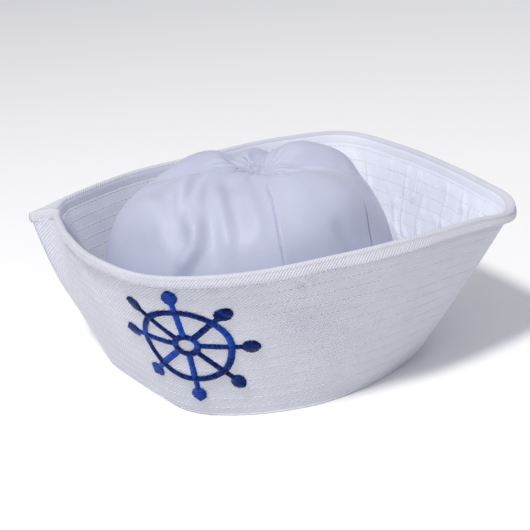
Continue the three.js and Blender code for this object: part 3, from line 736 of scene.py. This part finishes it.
def makeCrown():
    form = crownForm
    count, rings, cloth = form["stations"], form["rings"], form["cloth"]
    ways = np.linspace(0, 0.985, rings)
    hemTurns = crowdedStations(ways)
    around, way = hemTurns / 360, np.broadcast_to(ways[:, None], hemTurns.shape)
    points = crownBase(hemTurns, way)
    degrees = np.degrees(np.arctan2(points[:, :, 1], points[:, :, 0]))
    points = pleated(bent(gathered(points, degrees, around, way), degrees, ways), degrees, ways)
    soft = points
    for _ in range(4):
        soft = (np.roll(soft, 1, 1) + soft * 2 + np.roll(soft, -1, 1)) / 4
        soft[1:-1] = (soft[:-2] + soft[1:-1] * 2 + soft[2:]) / 4
    under = (soft - gridNormals(soft) * (cloth + 0.0004))[::2, ::2]  # the inner side is smoother and coarser
    under[0] = points[0, ::2]
    under[0, :, :2] *= 1 - cloth / 0.09
    topPoint = points[-1].mean(0) + (0, 0, 0.0001)
    allPoints = np.vstack([points.reshape(-1, 3), under.reshape(-1, 3), [topPoint, topPoint - (0, 0, cloth)]])
    inRings, inCount = under.shape[:2]
    first = rings * count
    faces = loopFaces(rings, count).tolist() + loopFaces(inRings, inCount, first)[:, ::-1].tolist()
    topIndex = first + inRings * inCount
    lastRow, lastUnder = (rings - 1) * count, first + (inRings - 1) * inCount
    faces += [[lastRow + k, lastRow + (k + 1) % count, topIndex] for k in range(count)]
    for k in range(inCount):
        beside = (k + 1) % inCount
        a, b, c = 2 * k, 2 * k + 1, (2 * k + 2) % count
        faces.append([lastUnder + beside, lastUnder + k, topIndex + 1])
        faces += [[b, a, first + k], [b, first + k, first + beside], [c, b, first + beside]]
    along, across = around * form["clothRound"], way * form["clothUp"]
    flatAlong = np.concatenate([along.ravel(), along[::2, ::2].ravel(), [0, 0]])
    flatAcross = np.concatenate([across.ravel(), across[::2, ::2].ravel(), [form["clothUp"]] * 2])
    uv = np.concatenate([uvOf(np.array([f]), flatAlong, flatAcross, form["clothRound"]) for f in faces])
    return addPiece("GatheredTop", allPoints, faces, whiteSateen, uv)


crown = makeCrown()
print("crown made", len(crown.data.polygons))


# Stitches: one Geometry Nodes tree lays a thread over every spot

def stitchTree():
    tree = bpy.data.node_groups.new("threadStitches", "GeometryNodeTree")
    for name, kind in (("Spots", "Geometry"), ("Thread Length", "Float"), ("Thread Width", "Float"),
                       ("Thread Rise", "Float"), ("Thread Sink", "Float"), ("Wander", "Float"), ("Segments", "Int"),
                       ("Seed", "Int"), ("Thread", "Material")):
        tree.interface.new_socket(name=name, in_out="INPUT", socket_type="NodeSocket" + kind)
    tree.interface.new_socket(name="Stitches", in_out="OUTPUT", socket_type="NodeSocketGeometry")
    given = addNode(tree, "NodeGroupInput").outputs
    halfLength, backLength, sunk, halfWidth, wanderBack = (
        addNode(tree, "ShaderNodeMath", {0: given[size], 1: share}, operation="MULTIPLY")
        for size, share in (("Thread Length", 0.5), ("Thread Length", -0.5), ("Thread Sink", -1.0),
                            ("Thread Width", 0.5), ("Wander", -1.0)))
    crest = addNode(tree, "ShaderNodeMath", {0: given["Thread Rise"], 1: 2.0, 2: given["Thread Sink"]},
                    operation="MULTIPLY_ADD")
    start, middle, end = (addNode(tree, "ShaderNodeCombineXYZ", place)
                          for place in ({"X": backLength, "Z": sunk}, {"Z": crest}, {"X": halfLength, "Z": sunk}))
    arch = addNode(tree, "GeometryNodeCurveQuadraticBezier", {"Resolution": given["Segments"], "Start": start,
                                                              "Middle": middle, "End": end})
    profile = addNode(tree, "GeometryNodeCurvePrimitiveCircle", {"Resolution": 5, "Radius": halfWidth},
                      mode="RADIUS")
    tube = addNode(tree, "GeometryNodeCurveToMesh", {"Curve": arch, "Profile Curve": profile, "Fill Caps": True})
    smoothTube = addNode(tree, "GeometryNodeSetShadeSmooth", {"Geometry": tube})
    along, outward = (addNode(tree, "GeometryNodeInputNamedAttribute", {"Name": name}, data_type="FLOAT_VECTOR")
                      for name in ("along", "outward"))
    length = addNode(tree, "ShaderNodeVectorMath", {0: along}, operation="LENGTH").outputs["Value"]
    least, most = (addNode(tree, "ShaderNodeCombineXYZ", {"X": reach, "Y": reach, "Z": reach})
                   for reach in (wanderBack, given["Wander"]))
    wander = addNode(tree, "FunctionNodeRandomValue", {"Min": least, "Max": most, "Seed": given["Seed"]},
                     data_type="FLOAT_VECTOR")
    unit = addNode(tree, "ShaderNodeVectorMath", {0: along}, operation="NORMALIZE")
    lean = addNode(tree, "ShaderNodeVectorMath", {0: unit, 1: wander}, operation="ADD")
    facing = addNode(tree, "FunctionNodeAxesToRotation", {"Primary Axis": outward, "Secondary Axis": lean},
                     primary_axis="Z", secondary_axis="X")
    stretch = addNode(tree, "ShaderNodeMath", {0: length, 1: given["Thread Length"]}, operation="DIVIDE")
    scale = addNode(tree, "ShaderNodeCombineXYZ", {"X": stretch, "Y": 1.0, "Z": 1.0})
    shadeSeed = addNode(tree, "ShaderNodeMath", {0: given["Seed"], 1: 17.0}, operation="ADD")
    uneven = addNode(tree, "FunctionNodeRandomValue", {"Max": 0.5, "Seed": shadeSeed}, data_type="FLOAT")
    # painted highlight: each spot's value is added to the thread's random unevenness, so that its colour turns lighter
    paintedHighlight = addNode(tree, "GeometryNodeInputNamedAttribute", {"Name": "paintedHighlight"}, data_type="FLOAT")
    threadToneAndHighlight = addNode(tree, "ShaderNodeMath", {0: uneven.outputs["Value"], 1: paintedHighlight}, operation="ADD")
    spots = addNode(tree, "GeometryNodeMeshToPoints", {"Mesh": given["Spots"]})
    shaded = addNode(tree, "GeometryNodeStoreNamedAttribute",
                     {"Geometry": spots, "Name": "threadToneAndPaintedHighlight", "Value": threadToneAndHighlight}, data_type="FLOAT", domain="POINT")
    placed = addNode(tree, "GeometryNodeInstanceOnPoints", {"Points": shaded, "Instance": smoothTube,
                                                            "Rotation": facing, "Scale": scale})
    real = addNode(tree, "GeometryNodeRealizeInstances", {"Geometry": placed})
    dyed = addNode(tree, "GeometryNodeSetMaterial", {"Geometry": real, "Material": given["Thread"]})
    addNode(tree, "NodeGroupOutput", {"Stitches": dyed})
    return tree


stitches = stitchTree()


def sewStitches(name, places, along, outward, settings, paintedHighlight=0.4):
    spots = bpy.data.meshes.new(name + "Spots")
    spots.from_pydata((np.asarray(places) + capForm["boxMiddle"]).tolist(), [], [])
    for label, values in (("along", along), ("outward", outward)):
        attribute = spots.attributes.new(label, "FLOAT_VECTOR", "POINT")
        attribute.data.foreach_set("vector", np.asarray(values, float).ravel())
    # painted highlight: how much lighter each spot's thread is coloured
    paintedHighlightAttribute = spots.attributes.new("paintedHighlight", "FLOAT", "POINT")
    paintedHighlightAttribute.data.foreach_set("value", np.broadcast_to(np.asarray(paintedHighlight, np.float32), (len(places),)).copy())
    holder = putInScene(name + "Spots", spots)
    modifier = holder.modifiers.new("sewing", "NODES")
    modifier.node_group = stitches
    for socket in stitches.interface.items_tree:
        if socket.in_out == "INPUT" and socket.name in settings:
            modifier[socket.identifier] = settings[socket.name]
    seen = holder.evaluated_get(bpy.context.evaluated_depsgraph_get())
    mesh = bpy.data.meshes.new_from_object(seen)
    bpy.data.objects.remove(holder)
    mesh.name = name
    return putInScene(name, mesh)


rowStitches = {"pitch": 0.0033, "Thread Length": 0.0023, "Thread Width": 0.0005, "Thread Rise": 0.00014,
               "Thread Sink": 0.0003, "Wander": 0.07, "Segments": 3, "Seed": 5, "Thread": whiteThread}


def sewRows(name, grid, side):
    normals = gridNormals(grid) * side
    places, along, outward = [], [], []
    for k in range(1, brimForm["rows"]):
        row = len(grid) // brimForm["rows"] * k - 1
        ring, facing = (np.vstack([rows[row], rows[row][:1]]) for rows in (grid, normals))
        run = runOf(ring)
        count = int(run[-1] / rowStitches["pitch"])
        at = (np.arange(2, count - 2) + (0.5 if k % 2 else 0.0)) * run[-1] / count
        spot, out, ahead = (np.stack([np.interp(at + shift, run, values[:, c]) for c in range(3)], 1)
                            for values, shift in ((ring, 0), (facing, 0), (ring, 0.0008)))
        places.append(spot)
        outward.append(out)
        along.append(normalised(ahead - spot) * rowStitches["Thread Length"])
    return sewStitches(name, np.vstack(places), np.vstack(along), np.vstack(outward), rowStitches)


outerStitches = sewRows("BrimStitchesOutside", outerGrid, 1)
innerStitches = sewRows("BrimStitchesInside", innerGrid, -1)
print("brim stitches sewn", len(outerStitches.data.polygons), len(innerStitches.data.polygons))


# Ship's wheel: padding with satin stitches laid across every band

wheelForm = {
    "up": 0.531,  # share of the brim's slant
    "along": 0.447,  # share of the near side
    "ringRadius": 0.027,
    "ringWidth": 0.0038,
    "spokeWidth": 0.0038,  # a little wider than the solid bars, as the threads spread over the cloth
    "hubRadius": 0.0086,
    "hubHole": 0.0047,
    "handleWidth": 0.0092,
    "handleLength": 0.0106,
    "neckWidth": 0.0033,
    "neckLength": 0.004,
    "padding": 0.0007,
    "paddingHalf": 0.43,  # half width of the padding as a share of its threads' width
    "threadPitch": 0.00042,
}
# Spokes as in the part's source: direction in degrees, share of the ring's radius, share of the neck's length,
# and the painted highlight that lightens its threads' colour where they would catch the light
wheelSpokes = [(-4, 0.955, 0.9, 0.1), (45, 0.91, 0.4, 0.1), (93.5, 0.94, 0.9, 0.6), (136.5, 0.99, 1.1, 0.1),
               (174.5, 1.02, 0.9, 0.25), (220.5, 1.0, 1.15, 0.5), (270, 0.985, 1.4, 0.55), (313, 1.03, 1.3, 0.1)]
wallTurns = np.linspace(0, 1, 801)
wallRun = runOf(brimFace(wallTurns, wheelForm["up"]))
nearLength = wallRun[400]  # as far as the rounded corner


def onBrim(x, y, raised):  # x along and y up the cloth from the wheel's middle
    x, y = np.asarray(x, float), np.asarray(y, float)
    turn = np.interp(wheelForm["along"] * nearLength + x, wallRun, wallTurns)
    height = wheelForm["up"] + y / slantAt(turn)
    tangent = brimFace(turn + 0.002, height) - brimFace(turn - 0.002, height)
    outward = normalised(np.cross(tangent, brimFace(turn, 1.0) - brimFace(turn, 0.0)))
    lift = np.asarray(raised, float) + outerLift(turn, height)
    return brimFace(turn, height) + outward * lift[..., None], outward


def handleHalf(reach):  # half width of a handle from its neck (0) to its tip (1)
    return wheelForm["handleWidth"] / 2 * np.interp(reach, (0, 0.18, 0.45, 0.75, 0.94, 1.0),
                                                    (0.35, 0.78, 1.0, 0.86, 0.42, 0.12))


def ringRadiusAt(turn):  # runs smoothly from one spoke's share to the next
    starts, shares = (np.array([spoke[k] for spoke in wheelSpokes] + [wheelSpokes[0][k] + more])
                      for k, more in ((0, 360.0), (1, 0)))
    place = starts[0] + (np.degrees(turn) - starts[0]) % 360
    index = np.clip(np.searchsorted(starts, place, side="right") - 1, 0, len(wheelSpokes) - 1)
    share = smooth((place - starts[index]) / (starts[index + 1] - starts[index]))
    return wheelForm["ringRadius"] * (shares[index] + (shares[index + 1] - shares[index]) * share)


def spokePlaces():  # for each spoke: its direction, the ring's radius there, where its handle starts, and its painted highlight
    for degrees, _, neck, paintedHighlight in wheelSpokes:
        turn = math.radians(degrees)
        ring = float(ringRadiusAt(turn))
        yield turn, ring, ring + wheelForm["ringWidth"] / 2 + neck * wheelForm["neckLength"], paintedHighlight


# The ring and the hub: radius for a direction, and width
wheelRounds = ((ringRadiusAt, wheelForm["ringWidth"]),
               (lambda turn: (wheelForm["hubRadius"] + wheelForm["hubHole"]) / 2,
                wheelForm["hubRadius"] - wheelForm["hubHole"]))


def wheelThreads():
    form = wheelForm
    pitch, thick = form["threadPitch"], form["padding"]
    random = np.random.default_rng(12)
    rows = []  # x, y, direction, length, raise, painted highlight

    def layAcross(turn, start, end, widthAt, raised, slant, paintedHighlight):
        for radius in np.arange(start, end, pitch):
            rows.append((radius * math.cos(turn), radius * math.sin(turn), turn + math.pi / 2 + slant,
                         widthAt((radius - start) / (end - start)), raised, paintedHighlight))

    for turn, ring, handle, paintedHighlight in spokePlaces():
        layAcross(turn, form["hubRadius"] - 0.001, ring - 0.001, lambda share: form["spokeWidth"], thick, 0.2, paintedHighlight)
        layAcross(turn, ring + 0.0012, handle, lambda share: form["neckWidth"], thick, 0.2, paintedHighlight)
        layAcross(turn, handle + 0.0002, handle + form["handleLength"] - 0.0001,
                  lambda share: 2 * float(handleHalf(share)), thick * 1.3, 0.12, paintedHighlight * 0.8)
    for radiusAt, width in wheelRounds:
        count = int(2 * math.pi * float(radiusAt(0.8)) / pitch)
        for turn in np.arange(count) * 2 * math.pi / count:
            radius = float(radiusAt(turn))
            # painted highlight: the ring's threads are coloured lighter on the left and on the right, where they face
            # the lamp
            paintedHighlight = 0.08 + 0.55 * math.exp(-(((math.degrees(turn) + 165) % 360 - 180) / 34) ** 2)
            paintedHighlight += 0.4 * math.exp(-((math.degrees(turn) - 165) / 18) ** 2)
            rows.append((radius * math.cos(turn), radius * math.sin(turn), turn + 0.3, width, thick * 1.6, paintedHighlight))
    rows = np.array(rows)
    rows[:, 3] *= 1 + 0.08 * random.uniform(-1, 1, len(rows))
    places, outward = onBrim(rows[:, 0], rows[:, 1], rows[:, 4])
    step = 0.0005
    ahead, _ = onBrim(rows[:, 0] + step * np.cos(rows[:, 2]), rows[:, 1] + step * np.sin(rows[:, 2]), rows[:, 4])
    along = ahead - places
    along *= (rows[:, 3] / np.linalg.norm(along, axis=1))[:, None]
    return places, along, outward, rows[:, 5]


def makePadding():  # low domed bands under the threads, so that no white shows between them
    form, share = wheelForm, wheelForm["paddingHalf"]
    points, faces = [], []
    shape = [(-1.0, -0.5), (-0.8, 0.45), (-0.4, 0.9), (0.0, 1.0), (0.4, 0.9), (0.8, 0.45), (1.0, -0.5)]

    def addBand(rows):  # each row: points (x, y, raise) across the band
        first, width = len(points), len(shape)
        points.extend(point for row in rows for point in row)
        faces.extend([a, a + 1, a + width + 1, a + width] for r in range(len(rows) - 1)
                     for a in range(first + r * width, first + (r + 1) * width - 1))

    def straightBand(turn, start, end, halves, raised):
        rows = []
        for along, half in zip(np.linspace(0, 1, len(halves)), halves):
            radius = start + (end - start) * along
            rows.append([(radius * math.cos(turn) - side * half * math.sin(turn),
                          radius * math.sin(turn) + side * half * math.cos(turn), raised * high)
                         for side, high in shape])
        addBand(rows)

    for turn, ring, handle, _ in spokePlaces():
        straightBand(turn, form["hubRadius"] - 0.001, ring, [form["spokeWidth"] * share] * 6, form["padding"])
        straightBand(turn, ring, handle + 0.001, [form["neckWidth"] * share] * 4, form["padding"])
        straightBand(turn, handle, handle + form["handleLength"],
                     [float(handleHalf(s)) * 0.9 for s in np.linspace(0, 1, 14)], form["padding"] * 1.3)
    for radiusAt, width in wheelRounds:
        rows = []
        for turn in np.linspace(0, 2 * math.pi, 97):
            radii = [float(radiusAt(turn)) - side * width * share for side, _ in shape]
            rows.append([(radius * math.cos(turn), radius * math.sin(turn), form["padding"] * 1.6 * high)
                         for radius, (_, high) in zip(radii, shape)])
        addBand(rows)
    flat = np.array(points)
    placed, _ = onBrim(flat[:, 0], flat[:, 1], flat[:, 2])
    return addPiece("WheelPadding", placed, faces, blueThread)


satinStitches = {"Thread Length": 0.004, "Thread Width": 0.00055, "Thread Rise": 0.0003, "Thread Sink": 0.0007,
                 "Wander": 0.05, "Segments": 6, "Seed": 8, "Thread": blueThread}
padding = makePadding()
threads = wheelThreads()
satin = sewStitches("ShipWheelThreads", *threads[:3], satinStitches, threads[3])
print("wheel embroidered", len(satin.data.polygons))


# What rides where, and which imported parts are hidden

root = "root"
for piece, slot in ((brim, "brim_twill"), (outerStitches, "brim_twill"), (innerStitches, "brim_twill"),
                    (binding, "binding_twill"), (crown, "crown_sateen"), (padding, "blue_thread"),
                    (satin, "blue_thread")):
    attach(piece, root)
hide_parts("brim")
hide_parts("rim_binding")
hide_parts("crown")
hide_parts("ship_wheel")


# Floor, light and camera

studio = {
    "aim": 0.06,  # the height that both lamps shine at
    "keyFrom": (-0.12, -0.62, 1.0),  # lamp above the front, a little to the left
    "keyDistance": 2.4,
    "keySize": 0.35,
    "keyPower": 41.0,
    "softFrom": (-0.55, -1.00, 0.3),  # broader lamp low in front
    "softDistance": 2.5,
    "softSize": 1.8,
    "softPower": 2.0,
    "skyStrength": 0.56,
    "skyLean": 0.1,  # the sky is this much brighter on the left than overhead, and as much dimmer on the right
}


def makeFloor():
    mesh = bpy.data.meshes.new("Floor")
    reach = 6.0
    mesh.from_pydata([(x * reach, y * reach, 0) for x, y in ((-1, -1), (1, -1), (1, 1), (-1, 1))], [], [(0, 1, 2, 3)])
    material = bpy.data.materials.new("pale_studio_paper")
    tree = emptyTree(material)
    shader = addNode(tree, "ShaderNodeBsdfPrincipled", {"Base Color": linearColour("#FBFBFB"), "Roughness": 0.9})
    addNode(tree, "ShaderNodeOutputMaterial", {"Surface": shader})
    mesh.materials.append(material)
    putInScene("Floor", mesh)


def makeLight():
    for name, lamp, colour in (("KeyLight", "key", (1.0, 0.985, 0.95)), ("SoftLight", "soft", (1.0, 0.99, 0.97))):
        light = bpy.data.lights.new(name, "AREA")
        light.shape, light.color = "DISK", colour
        light.size, light.energy = studio[lamp + "Size"], studio[lamp + "Power"]
        way = Vector(studio[lamp + "From"]).normalized()
        holder = putInScene(name, light)
        holder.location = way * studio[lamp + "Distance"] + Vector((0, 0, studio["aim"]))
        holder.rotation_euler = way.to_track_quat("Z", "Y").to_euler()
    world = bpy.data.worlds.new("paleSky")
    bpy.context.scene.world = world
    tree = emptyTree(world)
    way = addNode(tree, "ShaderNodeTexCoord").outputs["Generated"]
    along = addNode(tree, "ShaderNodeSeparateXYZ", {0: way})
    strength = addNode(tree, "ShaderNodeMapRange", {
        "Value": along, "From Min": -1.0, "From Max": 1.0,
        "To Min": studio["skyStrength"] * (1 + studio["skyLean"]),
        "To Max": studio["skyStrength"] * (1 - studio["skyLean"])})
    sky = addNode(tree, "ShaderNodeBackground", {"Color": linearColour("#F1F2FB"), "Strength": strength})
    addNode(tree, "ShaderNodeOutputWorld", {"Surface": sky})
    bpy.context.scene.view_settings.view_transform = "Standard"


cameraPlace = {"side": -14.82, "down": 20.749, "roll": -6.612, "distance": 0.79096, "aside": 0.009867,
               "height": 0.057775, "lens": 87.05}


def makeCamera():
    side, down, roll = (math.radians(cameraPlace[k]) for k in ("side", "down", "roll"))
    forward = Vector((math.sin(side) * math.cos(down), math.cos(side) * math.cos(down), -math.sin(down)))
    level = Vector((math.cos(side), -math.sin(side), 0))
    above = level.cross(forward)
    right = level * math.cos(roll) + above * math.sin(roll)
    up = above * math.cos(roll) - level * math.sin(roll)
    place = (Vector((0, 0, cameraPlace["height"])) + right * cameraPlace["aside"]
             - forward * cameraPlace["distance"] + Vector(capForm["boxMiddle"]))
    data = bpy.data.cameras.new("PhotoCamera")
    data.lens, data.sensor_width, data.clip_start = cameraPlace["lens"], 36.0, 0.01
    camera = putInScene("PhotoCamera", data)
    camera.matrix_world = Matrix.Translation(place) @ Matrix((right, up, -forward)).transposed().to_4x4()
    bpy.context.scene.camera = camera


makeFloor()
makeLight()
makeCamera()
print("studio ready")
